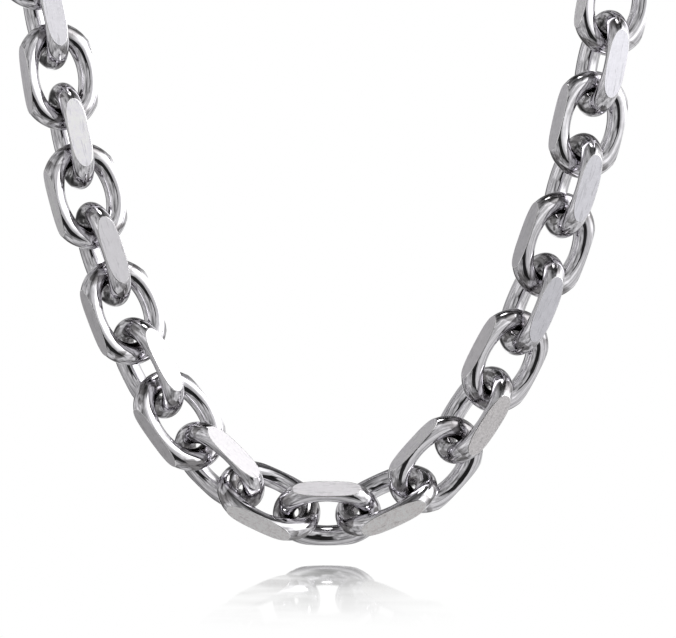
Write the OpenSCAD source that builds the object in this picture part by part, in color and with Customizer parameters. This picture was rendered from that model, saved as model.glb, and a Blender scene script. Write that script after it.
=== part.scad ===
// Heavy rolo necklace: oval links of round wire, each milled flat on its two
// long sides, interlocked at right angles and closed by one plain clasp.
// Millimetres. The origin is the middle of the clasp's inner face, at the nape.
// +Z is up, -Y is the front and +X is the viewer's right.

/* [Link] */
// Diameter of the round wire that the links are bent from
wire_d = 4.4; // [4.2:0.1:4.5]
// Length inside a link, end to end
inner_l = 12.95; // [12.85:0.05:13.3]
// Width inside a link
inner_w = 8.7; // [8.4:0.1:9]
// Width of a link over its two milled flats
over_flats = 14.2; // [13.8:0.1:14.8]
// Play between two links along the chain, on the left side
play_left = 0.7; // [0.6:0.05:0.8]
// Play between two links along the chain, on the right side
play_right = 0.4; // [0.35:0.05:0.6]

/* [Clasp] */
// Height of the clasp's plate
clasp_h = 11; // [8:0.5:14]
// Thickness of the clasp's plate
clasp_t = 5; // [4:0.5:6]
// Diameter of the wire of the clasp's two eyes
eye_wire_d = 3; // [2.6:0.1:3.4]
// Room left round a link's wire in an eye
eye_room = 1; // [0.6:0.1:1.6]
// Gap between an end link and the eye that it pulls on
eye_gap = 0.15; // [0.1:0.05:0.3]

/* [Hidden] */
$fn = 48;
front_links = 11;
back_links = 12;

// Where the chain hangs, in lengths inside a link: x, y, z, and the roll of the
// flats in degrees, from the nape down the left side, along the bottom and up
// the right side
route = [
    [0, 0.19, 0, 0],
    [-1.85, -0.15, -0.08, 0],
    [-3.47, -1.16, -0.31, 2],
    [-4.52, -2.7, -0.77, 6],
    [-4.98, -4.63, -1.39, 11],
    [-5.02, -6.49, -2.2, 16],
    [-4.86, -7.88, -3.24, 20],
    [-4.59, -8.57, -4.48, 23],
    [-4.21, -8.65, -6.02, 25],
    [-3.82, -8.65, -7.88, 28],
    [-3.28, -8.65, -9.69, 31],
    [-2.51, -8.65, -11.43, 37],
    [-1.31, -8.65, -12.82, 44],
    [0, -8.65, -13.28, 52],
    [1.39, -8.65, -12.82, 61],
    [2.59, -8.65, -11.24, 63],
    [3.4, -8.65, -9.46, 64],
    [3.98, -8.65, -7.61, 65],
    [4.36, -8.65, -5.79, 66],
    [4.67, -8.49, -4.32, 64],
    [5.02, -7.8, -2.93, 58],
    [5.33, -6.37, -1.81, 48],
    [5.37, -4.56, -1.08, 36],
    [4.83, -2.55, -0.58, 24],
    [3.51, -1, -0.27, 12],
    [1.85, -0.15, -0.08, 4],
    [0, 0.19, 0, 0]
];
route_bottom = 13;
// How far the bottom link has slid along the route from its lowest point
slide = 0.3;
// How each front link sits in the run, from link_left_11 to link_right_11: how
// far its axis leans outward, and the roll of its flats, both in degrees
front = [
    [0, 25], [2, 20], [3, 26], [0, 18], [0, 26], [0, 22], [0, 29], [0, 34], [0, 33],
    [0, 38], [0, 48], [0, 47], [0, 60], [0, 60], [0, 60], [0, 60], [0, 66], [0, 62],
    [0, 67], [0, 64], [0, 68], [0, 65], [0, 67]
];
route_steps = 12;
// The middle of the neck, and the height above which the chain leans round it,
// both in lengths inside a link
neck_y = -4.4;
lean_z = -9.1;

wire_r = wire_d / 2;
// Half length and half width of a link along the middle of its wire
half_l = inner_l / 2 + wire_r;
half_w = inner_w / 2 + wire_r;
// Straight stretch of a link's long sides, between its two round ends
leg = 2 * (half_l - half_w);

// Route: a smooth curve through the points, and lengths along it
function point(i) =
    i < 0 ? 2 * route[0] - route[1]
    : i > len(route) - 1 ? 2 * route[len(route) - 1] - route[len(route) - 2]
    : route[i];
function between(i, f) =
    let (a = point(i - 1), b = point(i), c = point(i + 1), d = point(i + 2))
    (2 * b + (c - a) * f + (2 * a - 5 * b + 4 * c - d) * f * f
        + (3 * b - a - 3 * c + d) * f * f * f) / 2;
function place(p) = [p.x, p.y, p.z];
path = [
    for (i = [0 : len(route) - 2]) for (j = [0 : route_steps - 1]) between(i, j / route_steps),
    route[len(route) - 1]
];
run = [
    for (i = 0, s = 0; i < len(path);
        i = i + 1, s = s + (i < len(path) ? norm(place(path[i]) - place(path[i - 1])) : 0)) s
];
start = run[route_bottom * route_steps] + slide / inner_l;
tables = [for (c = [0 : 3]) [for (i = [0 : len(path) - 1]) [run[i] - start, path[i][c]]]];
function on_route(s) = [for (c = [0 : 3]) lookup(s, tables[c])];

// Joint k lies between links k - 1 and k; the bottom link is number 0
function along(k) = k * (1 - (k < 0 ? play_left : play_right) / inner_l);
function hung(k) = place(on_route(along(k - 0.5))) * inner_l;
// The end joints, where the clasp's eyes hold the chain
end_left = hung(-front_links - back_links);
end_right = hung(front_links + back_links + 1);
clasp_middle = (end_left + end_right) / 2;
// The whole loop is placed so that the clasp's inner face is at the origin
seat = [0, clasp_t / 2, 0] - clasp_middle;
function joint(k) = hung(k) + seat;
function is_front(k) = abs(k) <= front_links;
function lean(k) = is_front(k) ? front[k + front_links][0] : 0;
function flat_roll(k) = is_front(k) ? front[k + front_links][1] : on_route(along(k))[3];
function roll(k) = flat_roll(k) + (k % 2 == 0 ? 90 : 0);
function unit(v) = v / norm(v);
function outward(p) = [
    p.x,
    max(p.y - neck_y * inner_l, 0),
    min(p.z - lean_z * inner_l, 0)
];
// A link's frame: along the chain, across its flats, square to its ring
function frame(k) =
    let (
        a = joint(k),
        b = joint(k + 1),
        run_way = unit(b - a),
        m = (a + b) / 2,
        h = outward(m),
        out_way = unit(h - (h * run_way) * run_way),
        v = cross(out_way, run_way),
        u = cos(lean(k)) * run_way + sin(lean(k)) * out_way,
        n = cross(u, v),
        w = cos(roll(k)) * n + sin(roll(k)) * v,
        t = cross(u, w)
    )
    [
        [u.x, w.x, t.x, m.x],
        [u.y, w.y, t.y, m.y],
        [u.z, w.z, t.z, m.z],
        [0, 0, 0, 1]
    ];

module link() {
    intersection() {
        for (side = [-1, 1]) {
            translate([side * leg / 2, 0, 0])
                rotate([0, 0, -side * 90])
                    rotate_extrude(angle = 180)
                        translate([half_w, 0])
                            circle(d = wire_d);
            translate([0, side * half_w, 0])
                rotate([0, 90, 0])
                    cylinder(d = wire_d, h = leg, center = true);
        }
        cube([4 * half_l, over_flats, 2 * wire_d], center = true);
    }
}

module chain_link(k) {
    color("silver") multmatrix(frame(k)) link();
}

// The clasp: an upright plate with an eye at each end, its frame along the
// line between the two end joints
clasp_span = norm(end_left - end_right);
eye_r = (wire_d + eye_room + eye_wire_d) / 2;
end_reach = half_l - norm(joint(front_links) - joint(front_links - 1)) / 2;
eye_x = clasp_span / 2 - end_reach + wire_r + eye_gap + eye_wire_d / 2 - eye_r;
plate_l = 2 * (eye_x - eye_r);
clasp_along = unit(end_left - end_right);
clasp_out = unit(cross(clasp_along, [0, 0, 1]));
clasp_up = cross(clasp_out, clasp_along);

module clasp_eye() {
    rotate_extrude() translate([eye_r, 0]) circle(d = eye_wire_d);
}

module clasp() {
    color("gainsboro")
        translate([0, clasp_t / 2, 0])
            multmatrix([
                [clasp_along.x, clasp_up.x, clasp_out.x, 0],
                [clasp_along.y, clasp_up.y, clasp_out.y, 0],
                [clasp_along.z, clasp_up.z, clasp_out.z, 0],
                [0, 0, 0, 1]
            ])
                union() {
                    cube([plate_l - clasp_h, clasp_h, clasp_t], center = true);
                    for (side = [-1, 1]) {
                        translate([side * (plate_l - clasp_h) / 2, 0, 0])
                            cylinder(d = clasp_h, h = clasp_t, center = true);
                        translate([side * eye_x, 0, 0]) clasp_eye();
                    }
                }
}

chain_link(0);  // link_bottom
for (k = [1 : front_links]) {
    chain_link(-k);
    chain_link(k);
}
for (k = [1 : back_links]) chain_link(-front_links - k);  // back_chain_left
for (k = [1 : back_links]) chain_link(front_links + k);  // back_chain_right
clasp();
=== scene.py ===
# Heavy rolo necklace: polished oval links with two milled flats each, hung in a U.
import math

import bmesh
import bpy
import numpy as np
from mathutils import Matrix, Vector


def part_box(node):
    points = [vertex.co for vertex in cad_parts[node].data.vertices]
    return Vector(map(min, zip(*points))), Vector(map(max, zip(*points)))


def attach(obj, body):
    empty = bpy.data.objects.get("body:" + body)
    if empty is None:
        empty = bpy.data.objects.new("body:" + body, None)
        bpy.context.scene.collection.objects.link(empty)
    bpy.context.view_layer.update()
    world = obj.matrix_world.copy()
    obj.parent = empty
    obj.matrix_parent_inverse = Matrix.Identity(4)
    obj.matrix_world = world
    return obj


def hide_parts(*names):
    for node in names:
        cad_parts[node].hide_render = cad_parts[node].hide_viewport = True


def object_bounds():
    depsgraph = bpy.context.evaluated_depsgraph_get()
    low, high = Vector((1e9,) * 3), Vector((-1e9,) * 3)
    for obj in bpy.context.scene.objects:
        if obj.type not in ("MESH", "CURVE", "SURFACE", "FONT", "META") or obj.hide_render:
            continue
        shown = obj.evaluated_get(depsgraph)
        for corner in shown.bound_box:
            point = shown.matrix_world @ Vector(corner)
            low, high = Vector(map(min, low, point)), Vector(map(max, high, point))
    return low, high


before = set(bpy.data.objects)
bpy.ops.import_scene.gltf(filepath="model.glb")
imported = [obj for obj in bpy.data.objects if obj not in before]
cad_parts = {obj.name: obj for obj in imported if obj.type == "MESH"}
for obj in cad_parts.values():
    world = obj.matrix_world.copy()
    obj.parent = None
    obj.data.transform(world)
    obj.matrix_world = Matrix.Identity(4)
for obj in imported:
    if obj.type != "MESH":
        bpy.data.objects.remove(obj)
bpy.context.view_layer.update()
print("frame loaded:", len(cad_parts), "nodes")

hair = 1e-6  # in metres: points nearer than this are one point
millimetres = 1000  # in a metre
quarterTurn = math.pi / 2


def deselectAll():
    if bpy.context.mode != "OBJECT":
        bpy.ops.object.mode_set(mode="OBJECT")
    bpy.ops.object.select_all(action="DESELECT")


def makeActive(piece):
    deselectAll()
    piece.select_set(True)
    bpy.context.view_layer.objects.active = piece


# Shader maths: a wrapped socket that adds Math nodes when it is used in an expression
class Wire:
    def __init__(self, board, socket):
        self.board = board
        self.socket = socket

    def math(self, operation, *others):
        values = dict(enumerate((self, *others)))
        return self.board.add("ShaderNodeMath", {"operation": operation}, values)

    def __add__(self, other):
        return self.math("ADD", other)

    def __radd__(self, other):
        return self.math("ADD", other)

    def __sub__(self, other):
        return self.math("SUBTRACT", other)

    def __rsub__(self, other):
        return self.board.add("ShaderNodeMath", {"operation": "SUBTRACT"}, {0: other, 1: self})

    def __mul__(self, other):
        return self.math("MULTIPLY", other)

    def __rmul__(self, other):
        return self.math("MULTIPLY", other)


class Board:
    # The node tree of one material or of the world
    def __init__(self, tree):
        self.tree = tree
        self.tree.nodes.clear()

    def add(self, kind, settings=None, inputs=None, output=0):
        node = self.tree.nodes.new(kind)
        for name, value in (settings or {}).items():
            setattr(node, name, value)
        for name, value in (inputs or {}).items():
            if isinstance(value, Wire):
                self.tree.links.new(value.socket, node.inputs[name])
            else:
                node.inputs[name].default_value = value
        return Wire(self, node.outputs[output])

    def step(self, value, low, high):
        # 0 below low, 1 above high, smooth between
        inputs = {0: value, 1: low, 2: high, 3: 0.0, 4: 1.0}
        return self.add("ShaderNodeMapRange", {"interpolation_type": "SMOOTHSTEP"}, inputs)

    def band(self, value, low, high, soft):
        # 1 between low and high, 0 outside, each edge twice soft wide
        return self.step(value, low - soft, low + soft) * (1.0 - self.step(value, high - soft, high + soft))

    def mix(self, share, first, second):
        return self.add("ShaderNodeMix", {"data_type": "RGBA"}, {0: share, 6: first, 7: second}, output=2)

    def noise(self, where, scale, detail, roughness=0.5):
        inputs = {"Vector": where, "Scale": scale, "Detail": detail, "Roughness": roughness}
        return self.add("ShaderNodeTexNoise", None, inputs)

    def stretched(self, where, turn, scale):
        inputs = {"Vector": where, "Rotation": [math.radians(angle) for angle in turn], "Scale": scale}
        return self.add("ShaderNodeMapping", None, inputs)

    def separate(self, vector):
        first = self.add("ShaderNodeSeparateXYZ", None, {0: vector})
        return [Wire(self, socket) for socket in first.socket.node.outputs]

    def attribute(self, name, output):
        return self.add("ShaderNodeAttribute", {"attribute_name": name}, output=output)

    def bump(self, height, strength, distance):
        inputs = {"Strength": strength, "Distance": distance, "Height": height}
        return self.add("ShaderNodeBump", None, inputs)

    def finish(self, shader, kind="ShaderNodeOutputMaterial"):
        end = self.tree.nodes.new(kind)
        self.tree.links.new(shader.socket, end.inputs["Surface"])

    def finishSteel(self, inputs):
        self.finish(self.add("ShaderNodeBsdfPrincipled", None, {"Metallic": 1.0, **inputs}))


def startMaterial(name):
    material = bpy.data.materials.new(name)
    material.use_nodes = True
    return material, Board(material.node_tree)


# Camera: level, a long lens, framed on the lowest link as in the photo
view = {
    "lens": 200.0,
    "sensor": 36.0,
    "clipStart": 0.05,
    "frameWidth": 0.1352,  # what the frame spans at the chain
    "pixels": (676, 638),
    "bottomPixel": (327.0, 513.5),  # where the photo has the middle of the lowest link
}
lowBox, highBox = [Vector(corner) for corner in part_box("link_bottom")]
bottomMiddle = (lowBox + highBox) / 2
pixel = view["frameWidth"] / view["pixels"][0]
toRight = (view["pixels"][0] / 2 - view["bottomPixel"][0]) * pixel
upward = (view["bottomPixel"][1] - view["pixels"][1] / 2) * pixel
aim = bottomMiddle + Vector((toRight, 0, upward))
cameraData = bpy.data.cameras.new("camera")
cameraData.lens = view["lens"]
cameraData.sensor_width = view["sensor"]
cameraData.clip_start = view["clipStart"]
camera = bpy.data.objects.new("camera", cameraData)
camera.location = aim - Vector((0, view["frameWidth"] * view["lens"] / view["sensor"], 0))
camera.rotation_euler = (quarterTurn, 0, 0)
bpy.context.collection.objects.link(camera)
bpy.context.scene.camera = camera
print("camera set")

# The link, modelled once at the origin: its length along X, its flats facing Y
linkShape = {
    "wire": 0.0044,
    "innerLength": 0.01295,
    "innerWidth": 0.0087,
    "overFlats": 0.0142,
    "sideRadius": 0.013,  # of the bow of each long side
    "rim": [(0.00004, 0.00008), (0.00010, 0.00005)],  # steps of a flat's rounded rim, inward and outward
    "crease": 18,
    "wireSteps": 64,
    "endSteps": 40,
    "sideSteps": 16,
}
wireSlot, flatSlot, edgeSlot = range(3)  # the order of the link's three finishes


def sweepWire(shape):
    # an oval of four arcs through the middle of the wire: two round ends and two bowed sides
    halfWidth = (shape["innerWidth"] + shape["wire"]) / 2
    halfLength = (shape["innerLength"] + shape["wire"]) / 2
    sideRadius = shape["sideRadius"]
    drop = sideRadius - halfWidth
    endRadius = (sideRadius ** 2 - drop ** 2 - halfLength ** 2) / (2 * (sideRadius - halfLength))
    endMiddle = halfLength - endRadius
    turn = math.atan2(endMiddle, drop)
    deselectAll()
    bpy.ops.mesh.primitive_circle_add(
        vertices=shape["wireSteps"], radius=shape["wire"] / 2, rotation=(0, quarterTurn, turn),
        location=(endMiddle + endRadius * math.sin(turn), -endRadius * math.cos(turn), 0),
    )
    link = bpy.context.object
    link.name = "linkModel"
    bpy.ops.object.transform_apply(location=True, rotation=True, scale=True)
    bpy.ops.object.mode_set(mode="EDIT")
    bpy.ops.mesh.select_all(action="SELECT")
    # round one end, along the side, round the other end and back
    for side in (1, -1):
        arcs = [
            (shape["endSteps"], 2 * turn - math.pi, (side * endMiddle, 0, 0)),
            (shape["sideSteps"], -2 * turn, (0, -side * drop, 0)),
        ]
        for steps, angle, center in arcs:
            bpy.ops.mesh.spin(steps=steps, angle=angle, center=center, axis=(0, 0, 1))
    bpy.ops.mesh.select_all(action="SELECT")
    bpy.ops.mesh.remove_doubles(threshold=hair)
    bpy.ops.mesh.normals_make_consistent(inside=False)
    bpy.ops.object.mode_set(mode="OBJECT")
    return link


def millSide(link, shape, side, depth):
    # one long side cut flat, with a fine rounded rim of that depth
    bpy.ops.object.mode_set(mode="EDIT")
    bpy.ops.mesh.select_all(action="SELECT")
    bpy.ops.mesh.bisect(
        plane_co=(0, side * (shape["overFlats"] / 2 - depth), 0), plane_no=(0, side, 0),
        use_fill=True, clear_outer=True, threshold=hair / 10,
    )
    bpy.ops.mesh.select_mode(type="FACE")
    bpy.ops.mesh.select_all(action="DESELECT")
    bpy.ops.object.mode_set(mode="OBJECT")
    flat = max(link.data.polygons, key=lambda face: face.center.y * side)
    flat.select = True
    link.data.polygons.active = flat.index
    bpy.ops.object.mode_set(mode="EDIT")
    for inward, outward in shape["rim"]:
        bpy.ops.mesh.inset(thickness=inward, depth=0)
        bpy.ops.transform.translate(value=(0, side * outward, 0))
    bpy.ops.mesh.select_all(action="DESELECT")
    bpy.ops.object.mode_set(mode="OBJECT")


def markFinishes(link, shape, depth):
    highest = shape["overFlats"] / 2
    for point in link.data.vertices:
        point.co.y = max(-highest, min(highest, point.co.y))
    for face in link.data.polygons:
        lowest = min(abs(link.data.vertices[i].co.y) for i in face.vertices)
        if lowest > highest - hair:
            face.material_index = flatSlot
        elif lowest > highest - depth - hair:
            face.material_index = edgeSlot
        else:
            face.material_index = wireSlot


def modelLink(shape):
    link = sweepWire(shape)
    depth = sum(outward for inward, outward in shape["rim"])
    for side in (1, -1):
        millSide(link, shape, side, depth)
    markFinishes(link, shape, depth)
    bpy.ops.object.shade_smooth_by_angle(angle=math.radians(shape["crease"]))
    # each point's own place on the link, in millimetres, kept for the finishes
    places = link.data.attributes.new("linkPlace", "FLOAT_VECTOR", "POINT")
    numbers = [number * millimetres for point in link.data.vertices for number in point.co]
    places.data.foreach_set("vector", numbers)
    return link


linkModel = modelLink(linkShape)
halfSizes = [round(size * millimetres / 2, 3) for size in linkModel.dimensions]
print("link modelled:", len(linkModel.data.polygons), "faces, half sizes", halfSizes)


def looseSolids(shape):
    # The faces of each closed solid in a merged mesh
    seen = set()
    solids = []
    for start in shape.verts:
        if start in seen:
            continue
        seen.add(start)
        waiting = [start]
        faces = {}
        while waiting:
            vert = waiting.pop()
            faces.update(dict.fromkeys(vert.link_faces))
            for edge in vert.link_edges:
                other = edge.other_vert(vert)
                if other not in seen:
                    seen.add(other)
                    waiting.append(other)
        solids.append(list(faces))
    return solids


def solidFrame(faces):
    # The middle and the three main directions of a closed solid, the longest first. Each of its triangles
    # makes a tetrahedron with one fixed point, and their volumes, middles and spreads add up.
    corners = np.array([[vert.co[:] for vert in face.verts] for face in faces])
    around = corners.mean(axis=(0, 1))
    a, b, c = [corners[:, i] - around for i in range(3)]
    volumes = np.einsum("ij,ij->i", a, np.cross(b, c)) / 6
    middle = (volumes[:, None] * (a + b + c) / 4).sum(axis=0) / volumes.sum()
    a, b, c = a - middle, b - middle, c - middle
    volumes = np.einsum("ij,ij->i", a, np.cross(b, c)) / 6
    spread = sum(np.einsum("i,ij,ik->jk", volumes, v, v) for v in (a, b, c, a + b + c)) / 20
    directions = np.linalg.eigh(spread)[1][:, ::-1].T
    return Vector(around + middle), [Vector(v) for v in directions]


def solidFrames(node):
    # The frame of each closed solid in a CAD node, from a merged copy, from the lowest up
    shape = bmesh.new()
    shape.from_mesh(node.data)
    bmesh.ops.remove_doubles(shape, verts=shape.verts, dist=hair)
    frames = [solidFrame(faces) for faces in looseSolids(shape)]
    shape.free()
    return sorted(frames, key=lambda found: (round(found[0].z, 3), round(found[0].y, 3)))


def linkMatrix(middle, directions):
    # Along the link, across its flats, square to its ring; the flat that shows turned to the front
    along, across, _ = directions
    if across.y > 0:
        across = -across
    if along.z > 0:
        along = -along
    square = along.cross(across)
    return Matrix.Translation(middle) @ Matrix((along, across, square)).transposed().to_4x4()


def placeLink(matrix, seed, paintedLight, warmth):
    mesh = linkModel.data.copy()
    mesh.transform(matrix)
    # each link's seed, the painted light or shade on its flats, and their warmth
    for name, value in (("linkSeed", seed), ("flatPaintedLight", paintedLight), ("linkWarmth", warmth)):
        number = mesh.attributes.new(name, "FLOAT", "POINT")
        number.data.foreach_set("value", [value] * len(mesh.vertices))
    return mesh


def joinMeshes(meshes, name):
    pieces = []
    for mesh in meshes:
        piece = bpy.data.objects.new(name, mesh)
        bpy.context.collection.objects.link(piece)
        pieces.append(piece)
    makeActive(pieces[0])
    for piece in pieces:
        piece.select_set(True)
    if len(pieces) > 1:
        bpy.ops.object.join()
    piece = bpy.context.view_layer.objects.active
    piece.name = name
    return piece


# The link's finishes, in millimetres on the link itself. A noise is given as its scale, detail and roughness.
seedShift = (7.3, 3.1, 5.7)  # how far one link's pattern lies from that of the link before


def linkPlace(board):
    return board.attribute("linkPlace", output=1)


def ownPlace(board):
    # shifted by the link's own seed, so that no two links are marked alike
    seed = board.attribute("linkSeed", output=2)
    offset = board.add("ShaderNodeCombineXYZ", None, {i: seed * shift for i, shift in enumerate(seedShift)})
    return board.add("ShaderNodeVectorMath", {"operation": "ADD"}, {0: linkPlace(board), 1: offset})


wireLook = {
    "colour": (0.825, 0.812, 0.842, 1),
    "roughness": 0.025,
    "haze": (0.6, 3.0),
    "hazeRoughness": 0.07,
    "swell": (0.45, 1.0),
    "swellStrength": 1.0,
    "swellDistance": 0.00004,
    # the colour and roughness of the painted shade between the links, also of the faint streaks
    "shadeAndStreakColour": (0.17, 0.16, 0.16, 1),
    "shadeAndStreakRoughness": 0.08,
    "seatReach": (2.0, 3.3),  # how far from the next link's seat the painted shade is full, and where it ends
    "seatPatches": (0.6, 1.5),
    "seatPatchReach": 8.0,
    "seatShare": 0.92,
    "endFrom": (6.0, 8.0),  # how far along the link the swirls of painted shade on its ends begin
    "swirl": (0.42, 1.0),
    "swirlTurn": (0, 35, 20),
    "swirlStretch": (1, 0.45, 1),
    "swirlEdge": (0.50, 0.56),
    "swirlShare": 0.78,
    "streak": (2.2, 2.0),
    "streakStretch": (0.3, 1, 1),
    "streakEdge": (0.56, 0.72),
    "streakShare": 0.14,
}


def polishedWire(look):
    material, board = startMaterial("polishedWire")
    place = linkPlace(board)
    own = ownPlace(board)
    # painted shade inside both ends, where the next link sits, standing in for the shade between the links
    x = board.separate(place)[0]
    side = x.math("SIGN")
    seat = board.add("ShaderNodeCombineXYZ", None, {0: side * (linkShape["innerLength"] / 2 * millimetres)})
    reach = board.add("ShaderNodeVectorMath", {"operation": "DISTANCE"}, {0: place, 1: seat}, output=1)
    patches = (board.noise(own, *look["seatPatches"]) - 0.5) * look["seatPatchReach"]
    seatShade = (1.0 - board.step(reach + patches, *look["seatReach"])) * look["seatShare"]
    # swirls of painted shade on the ends, where the links hold one another, and faint darker streaks along
    # the wire
    swirl = board.noise(board.stretched(own, look["swirlTurn"], look["swirlStretch"]), *look["swirl"])
    swirls = board.step(x * side, *look["endFrom"]) * board.step(swirl, *look["swirlEdge"])
    streak = board.noise(board.stretched(own, (0, 0, 0), look["streakStretch"]), *look["streak"])
    shadeAndStreaks = seatShade.math("MAXIMUM", swirls * look["swirlShare"])
    shadeAndStreaks = shadeAndStreaks + board.step(streak, *look["streakEdge"]) * look["streakShare"]
    haze = board.noise(own, *look["haze"])
    swell = board.noise(own, *look["swell"])
    # the painted shade darkens the steel where the links meet
    board.finishSteel({
        "Base Color": board.mix(shadeAndStreaks, look["colour"], look["shadeAndStreakColour"]),
        "Roughness": haze * look["hazeRoughness"] + shadeAndStreaks * look["shadeAndStreakRoughness"] + look["roughness"],
        "Normal": board.bump(swell, look["swellStrength"], look["swellDistance"]),
    })
    return material


flatLook = {
    "cool": (0.785, 0.780, 0.830, 1),
    "warm": (0.825, 0.795, 0.790, 1),
    "roughness": 0.52,
    "grain": (1.0, 4.0, 0.6),
    "grainTurn": (0, 52, 0),
    "grainStretch": (0.35, 1, 11),
    "grainShare": 0.20,
    "grainRoughness": 0.10,
    "grainStrength": 0.6,
    "grainDistance": 0.000012,
    "cloud": (0.6, 4.0, 0.6),
    "cloudShare": 0.22,
    "cloudRoughness": 0.12,
    "speckle": (1.9, 3.0, 0.7),
    "speckleShare": 0.14,
    "wornSpeckleShare": 0.75,
    "wornWarmth": (0.2, 0.6),  # the warmest flats are the worn ones
    "scratch": (1.0, 2.0),
    "scratchTurn": (0, -20, 0),
    "scratchStretch": (0.35, 1, 3),
    "scratchEdge": (0.60, 0.66),
    "scratchShare": 0.16,
}


def milledFlat(look):
    material, board = startMaterial("milledFlat")
    own = ownPlace(board)
    # this link's painted light or shade, which makes all its flats brighter or darker
    paintedLight = board.attribute("flatPaintedLight", output=2)
    warmth = board.attribute("linkWarmth", output=2)
    grain = board.noise(board.stretched(own, look["grainTurn"], look["grainStretch"]), *look["grain"]) - 0.5
    cloud = board.noise(own, *look["cloud"]) - 0.5
    speckle = board.noise(own, *look["speckle"]) - 0.5
    worn = board.step(warmth, *look["wornWarmth"])
    scratch = board.noise(board.stretched(own, look["scratchTurn"], look["scratchStretch"]), *look["scratch"])
    shade = 1.0 + cloud * look["cloudShare"] + grain * look["grainShare"]
    shade = shade + speckle * (look["speckleShare"] + worn * look["wornSpeckleShare"])
    shade = paintedLight * (shade - board.step(scratch, *look["scratchEdge"]) * look["scratchShare"])
    tint = board.mix(warmth * 0.5 + 0.5, look["cool"], look["warm"])
    board.finishSteel({
        "Base Color": board.add("ShaderNodeVectorMath", {"operation": "SCALE"}, {0: tint, 3: shade}),
        "Roughness": look["roughness"] + grain * look["grainRoughness"] + cloud * look["cloudRoughness"],
        "Normal": board.bump(grain, look["grainStrength"], look["grainDistance"]),
    })
    return material


edgeLook = {"colour": (0.90, 0.89, 0.90, 1), "roughness": 0.08, "wear": (2.0, 2.0), "wearRoughness": 0.20}


def brightEdge(look):
    material, board = startMaterial("brightEdge")
    wear = board.noise(ownPlace(board), *look["wear"])
    board.finishSteel({
        "Base Color": look["colour"],
        "Roughness": wear * look["wearRoughness"] + look["roughness"],
    })
    return material


for finish in (polishedWire(wireLook), milledFlat(flatLook), brightEdge(edgeLook)):
    linkModel.data.materials.append(finish)

# Painted light and shade on each link's milled flats, brighter or darker for how the light falls on each, and
# how warm each flat came off the wheel
evenFlat = (1.0, 0.0)
paintedFlatLightAndWarmth = {
    "link_left_10": (1.07, -0.6),
    "link_left_9": (1.15, -0.2),
    "link_left_8": (1.25, -0.6),
    "link_left_7": (1.25, -0.2),
    "link_left_6": (0.81, -0.3),
    "link_left_4": (1.05, 0.0),
    "link_left_3": (0.98, 0.0),
    "link_left_2": (1.03, 0.0),
    "link_left_1": (1.24, 0.6),
    "link_bottom": (1.16, 0.0),
    "link_right_1": (1.23, 0.9),
    "link_right_2": (1.23, -0.2),
    "link_right_3": (0.92, 0.6),
    "link_right_4": (1.06, 0.0),
    "link_right_5": (0.89, -0.9),
    "link_right_6": (0.97, -0.2),
    "link_right_7": (0.96, -0.9),
    "link_right_8": (1.07, -0.2),
    "link_right_9": (1.16, -0.9),
    "link_right_10": (1.25, -0.2),
}

# Every packed link gets a modelled one in its own place
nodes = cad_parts
seed = 0
for name in sorted(nodes):
    if name == "clasp":
        continue
    meshes = []
    for middle, directions in solidFrames(nodes[name]):
        seed += 1
        matrix = linkMatrix(middle, directions)
        meshes.append(placeLink(matrix, float(seed), *paintedFlatLightAndWarmth.get(name, evenFlat)))
    piece = joinMeshes(meshes, "polished_" + name)
    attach(piece, "root")
    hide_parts(name)
bpy.data.objects.remove(linkModel)
print("links placed:", seed)

# The clasp: one plain plate with softened rims and an eye at each end
claspShape = {
    "height": 0.011,
    "thickness": 0.005,
    "plateSteps": 96,
    "rim": 0.0007,
    "rimSteps": 4,
    "rimAngle": 50,
    "eyeRadius": 0.0042,
    "eyeWire": 0.003,
    "eyeSteps": 96,
    "eyeWireSteps": 32,
    "crease": 35,
    "colour": (0.82, 0.81, 0.83, 1),
    "roughness": 0.06,
    "haze": (300.0, 3.0),
    "hazeRoughness": 0.10,
}


def claspPlate(shape, endMiddle):
    deselectAll()
    bpy.ops.mesh.primitive_cylinder_add(
        vertices=shape["plateSteps"], radius=shape["height"] / 2, depth=shape["thickness"],
        rotation=(quarterTurn, 0, 0),
    )
    plate = bpy.context.object
    bpy.ops.object.transform_apply(location=True, rotation=True, scale=True)
    # pull the two halves apart
    for side in (1, -1):
        for part in (plate.data.polygons, plate.data.edges):
            part.foreach_set("select", [False] * len(part))
        for point in plate.data.vertices:
            point.select = point.co.x * side > hair
        bpy.ops.object.mode_set(mode="EDIT")
        bpy.ops.mesh.select_mode(type="VERT")
        bpy.ops.transform.translate(value=(side * endMiddle, 0, 0))
        bpy.ops.object.mode_set(mode="OBJECT")
    rims = plate.modifiers.new("rims", "BEVEL")
    rims.width = shape["rim"]
    rims.segments = shape["rimSteps"]
    rims.limit_method = "ANGLE"
    rims.angle_limit = math.radians(shape["rimAngle"])
    bpy.ops.object.modifier_apply(modifier="rims")
    return plate


def addEye(plate, shape, eyeMiddle):
    deselectAll()
    bpy.ops.mesh.primitive_torus_add(
        major_radius=shape["eyeRadius"], minor_radius=shape["eyeWire"] / 2,
        major_segments=shape["eyeSteps"], minor_segments=shape["eyeWireSteps"],
        location=(eyeMiddle, 0, 0), rotation=(quarterTurn, 0, 0),
    )
    eye = bpy.context.object
    bpy.ops.object.transform_apply(location=True, rotation=True, scale=True)
    makeActive(plate)
    joint = plate.modifiers.new("joint", "BOOLEAN")
    joint.operation = "UNION"
    joint.object = eye
    joint.solver = "EXACT"
    bpy.ops.object.modifier_apply(modifier="joint")
    bpy.data.objects.remove(eye)


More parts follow.
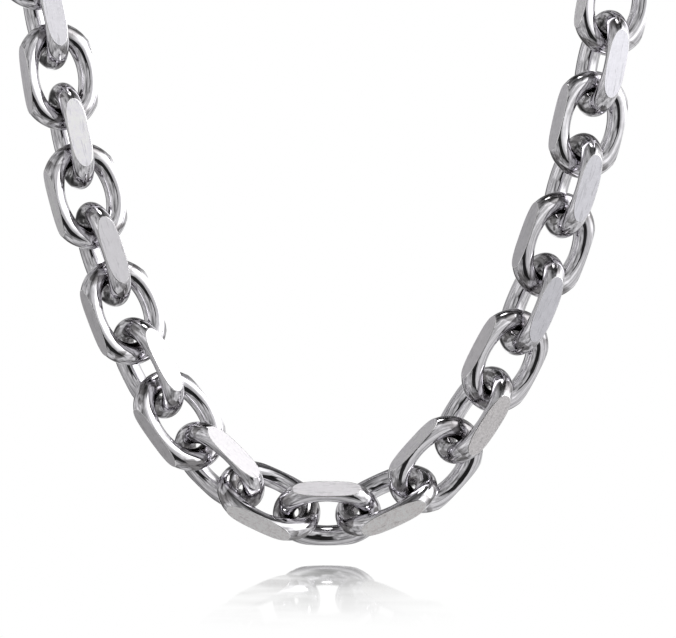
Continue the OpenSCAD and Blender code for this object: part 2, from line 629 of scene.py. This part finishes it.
def modelClasp(shape, length):
    eyeMiddle = length / 2 - shape["eyeRadius"] - shape["eyeWire"] / 2
    plate = claspPlate(shape, eyeMiddle - shape["eyeRadius"] - shape["height"] / 2)
    for side in (1, -1):
        addEye(plate, shape, side * eyeMiddle)
    makeActive(plate)
    # the unions leave a few points on top of one another
    bpy.ops.object.mode_set(mode="EDIT")
    bpy.ops.mesh.select_all(action="SELECT")
    bpy.ops.mesh.remove_doubles(threshold=5 * hair)
    bpy.ops.mesh.dissolve_degenerate(threshold=5 * hair)
    bpy.ops.object.mode_set(mode="OBJECT")
    bpy.ops.object.shade_smooth_by_angle(angle=math.radians(shape["crease"]))
    return plate


def claspSteel(look):
    material, board = startMaterial("claspSteel")
    place = board.add("ShaderNodeTexCoord", output=3)
    haze = board.noise(place, *look["haze"])
    board.finishSteel({
        "Base Color": look["colour"],
        "Roughness": haze * look["hazeRoughness"] + look["roughness"],
    })
    return material


claspNode = nodes["clasp"]
middle, (along, up, _) = solidFrames(claspNode)[0]
if along.x < 0:
    along = -along
if up.z < 0:
    up = -up
outward = up.cross(along)
reach = [(point.co - middle).dot(along) for point in claspNode.data.vertices]
clasp = modelClasp(claspShape, max(reach) - min(reach))
clasp.name = "clasp_detailed"
claspMiddle = middle + along * (max(reach) + min(reach)) / 2
clasp.data.transform(Matrix.Translation(claspMiddle) @ Matrix((along, outward, up)).transposed().to_4x4())
clasp.data.materials.append(claspSteel(claspShape))
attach(clasp, "root")
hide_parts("clasp")
print("clasp modelled:", len(clasp.data.polygons), "faces")

# Floor: plain, white, just under the lowest link, which it mirrors softly, less and less towards the front
floorLook = {
    "size": 3.0,
    "gap": 0.002,
    "near": 0.82,  # how strongly it mirrors just under the link, and how far that reaches
    "nearLength": 0.115,
    "far": 0.22,  # and the same of the fainter stretch in front
    "farLength": 0.18,
    "behind": (0.02, 0.06),
    "halfWidth": 0.015,
    "sideSoftness": 0.011,
    "patches": (60.0, 2.0),
    "patchLength": 0.05,
    "patchWidth": 0.03,
    "grazing": (0.885, 0.925),
    "roughness": 0.03,
    "brightness": 1.0,
}


def floorWhite(look):
    material, board = startMaterial("floorWhite")
    place = board.add("ShaderNodeTexCoord", output=3)
    x, y, _ = board.separate(place)
    patches = board.noise(place, *look["patches"]) - 0.5
    wavy = y + patches * look["patchLength"]
    under = bottomMiddle.y
    near = board.step(wavy, under - look["nearLength"], under) * look["near"]
    far = board.step(wavy, under - look["farLength"], under - look["farLength"] / 2) * look["far"]
    behind = board.step(y, under + look["behind"][0], under + look["behind"][1])
    across = x - bottomMiddle.x + patches * look["patchWidth"]
    beside = board.band(across, -look["halfWidth"], look["halfWidth"], look["sideSoftness"])
    # it mirrors only at a grazing angle
    facing = board.add("ShaderNodeLayerWeight", None, {0: 0.5}, output=1)
    share = (near + far) * (1.0 - behind) * beside * board.step(facing, *look["grazing"])
    white = board.add("ShaderNodeEmission", None, {"Color": (1, 1, 1, 1), "Strength": look["brightness"]})
    mirror = board.add("ShaderNodeBsdfGlossy", None, {"Color": (1, 1, 1, 1), "Roughness": look["roughness"]})
    board.finish(board.add("ShaderNodeMixShader", None, {0: share, 1: white, 2: mirror}))
    return material


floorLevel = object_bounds()[0][2] - floorLook["gap"]
deselectAll()
bpy.ops.mesh.primitive_plane_add(size=floorLook["size"], location=(0, 0, floorLevel))
floor = bpy.context.object
floor.name = "floor"
bpy.ops.object.transform_apply(location=True, rotation=True, scale=True)
# the steel mirrors the tent below instead of the floor
floor.visible_glossy = False
floor.visible_diffuse = False
floor.visible_shadow = False
floor.data.materials.append(floorWhite(floorLook))

# Light tent round the chain: dim patchy walls, a strip light on the left, a large soft box high on the
# right, and dark frames, stands and gaps between them. Turn is a bearing in degrees from the camera's side,
# positive to the viewer's right, rise is the height in degrees, and each span is from, to and softness.
tentLook = {
    "walls": 0.36,
    "wallPatches": (3.2, 3.0, 0.6),
    "wallPatchDepth": 1.50,
    "clutter": (9.0, 2.0),
    "clutterDepth": 1.25,
    "ceilingRise": (38, 58),
    "ceilingDim": 0.40,
    "crownRise": (59, 65),  # its crown, darker still but for the viewer's left
    "crownDim": 0.70,
    "crownLeft": (-0.25, -0.45),
    "crownLeftDim": 0.30,
    "openingRise": (80, 85),  # one small opening straight overhead
    "openingLight": 5.6,
    "darkBehindAcross": (-0.34, 0.30, 0.06),  # a dark patch above and behind the chain
    "darkBehindUp": (0.40, 0.50),
    "darkBehindDepth": (0.02, 0.20),
    "darkBehindDim": 0.74,
    "darkRoomStart": (-12, -5),  # a dark room beside the camera, its right side leaning with the rise
    "darkRoomEnd": (16, 22),
    "darkRoomLean": 0.5,
    "darkRoomRise": (-44, 1, 3),
    "darkRoomDim": 0.95,
    "gain": 1.14,
    "backdropRise": (0, 9, 1.5),  # a plain white sheet straight behind the chain, which the floor mirrors
    "backdropDepth": (0.984, 0.99),
    "backdropLight": 1.05,
    "seenLight": 1.0,
}
tentParts = [
    {"part": "pale wall on the left", "turn": (-108, -34, 14), "rise": (-4, 30, 8), "light": 0.12},
    {"part": "strip light on it", "turn": (-82, -46, 4), "rise": (0, 14, 3), "light": 0.36},
    {"part": "stand behind the chain", "turn": (-154, -135, 3), "rise": (-46, 14, 5), "dim": 0.82},
    {"part": "lamp beside that stand", "turn": (-177, -160, 3), "rise": (-20, 2, 4), "light": 0.55},
    {"part": "spill of the soft box", "turn": (32, 150, 5), "rise": (-70, 40, 8), "light": 0.16},
    {"part": "soft box", "turn": (46, 108, 12), "rise": (-8, 36, 9), "light": 0.66},
    {"part": "its bright middle", "turn": (56, 98, 8), "rise": (2, 52, 8), "light": 1.10},
    {"part": "its upper edge", "turn": (32, 124, 5), "rise": (22, 38, 5), "light": 0.46},
    {"part": "its upper corner", "turn": (42, 80, 8), "rise": (34, 54, 5), "light": 0.72},
    {"part": "its far wing", "turn": (98, 146, 5), "rise": (8, 30, 4), "light": 0.34},
    {"part": "its near wing", "turn": (14, 36, 6), "rise": (12, 40, 8), "light": 0.28},
    {"part": "its black frame", "turn": (26, 32, 2), "rise": (42, 62, 4), "dim": 0.75},
    {"part": "gap above it", "turn": (48, 82, 4), "rise": (58, 68, 3), "dim": 0.80},
    {"part": "slanting seam in it", "turn": (50, 55, 2), "rise": (20, 36, 3), "lean": -0.5, "dim": 0.40},
    {"part": "pale sheet low on the left", "turn": (-100, -52, 8), "rise": (-78, -56, 6), "light": 0.12},
    {"part": "pale sheet below the camera", "turn": (-30, 30, 8), "rise": (-84, -62, 5), "light": 0.16},
    {"part": "stand beside the camera", "turn": (7, 17, 2), "rise": (-4, 18, 3), "dim": 0.92},
    {"part": "dark corner above the camera", "turn": (-30, -16, 4), "rise": (13, 25, 4), "dim": 0.65},
]


def lightTent(look, parts):
    world = bpy.data.worlds.new("tent")
    world.use_nodes = True
    board = Board(world.node_tree)
    direction = board.add("ShaderNodeTexCoord", output=0)
    x, y, z = board.separate(direction)
    turn = x.math("ARCTAN2", y * -1.0) * math.degrees(1)
    rise = z.math("ARCSINE") * math.degrees(1)
    patches = (board.noise(direction, *look["wallPatches"]) - 0.5) * look["wallPatchDepth"]
    clutter = (board.noise(direction, *look["clutter"]) - 0.5) * look["clutterDepth"]
    tent = (look["walls"] + patches) * (1.0 + clutter)
    # the ceiling, its crown and its opening
    onLeft = board.step(x, *look["crownLeft"])
    crownDim = look["crownDim"] - onLeft * (look["crownDim"] - look["crownLeftDim"])
    tent = tent * (1.0 - board.step(rise, *look["ceilingRise"]) * look["ceilingDim"])
    tent = tent * (1.0 - board.step(rise, *look["crownRise"]) * crownDim)
    tent = tent + board.step(rise, *look["openingRise"]) * look["openingLight"]
    darkBehind = board.band(x, *look["darkBehindAcross"]) * board.step(z, *look["darkBehindUp"])
    darkBehind = darkBehind * board.step(y, *look["darkBehindDepth"])
    tent = tent * (1.0 - darkBehind * look["darkBehindDim"])
    for part in parts:
        bearing = turn + rise * part["lean"] if "lean" in part else turn
        patch = board.band(bearing, *part["turn"]) * board.band(rise, *part["rise"])
        if "light" in part:
            tent = tent + patch * part["light"]
        else:
            tent = tent * (1.0 - patch * part["dim"])
    darkRoomEnd = board.step(turn + rise * look["darkRoomLean"], *look["darkRoomEnd"])
    darkRoom = board.step(turn, *look["darkRoomStart"]) * (1.0 - darkRoomEnd)
    darkRoom = darkRoom * board.band(rise, *look["darkRoomRise"])
    tent = tent * (1.0 - darkRoom * look["darkRoomDim"]) * look["gain"]
    backdrop = board.band(rise, *look["backdropRise"]) * board.step(y, *look["backdropDepth"])
    tent = tent * (1.0 - backdrop) + backdrop * look["backdropLight"]
    # the camera itself sees plain white
    seen = board.add("ShaderNodeLightPath", output=0)
    strength = tent * (1.0 - seen) + seen * look["seenLight"]
    glow = board.add("ShaderNodeBackground", None, {"Color": (1, 1, 1, 1), "Strength": strength})
    board.finish(glow, "ShaderNodeOutputWorld")
    return world


scene = bpy.context.scene
scene.world = lightTent(tentLook, tentParts)
scene.view_settings.view_transform = "Standard"
scene.view_settings.look = "None"
print("light and floor set")
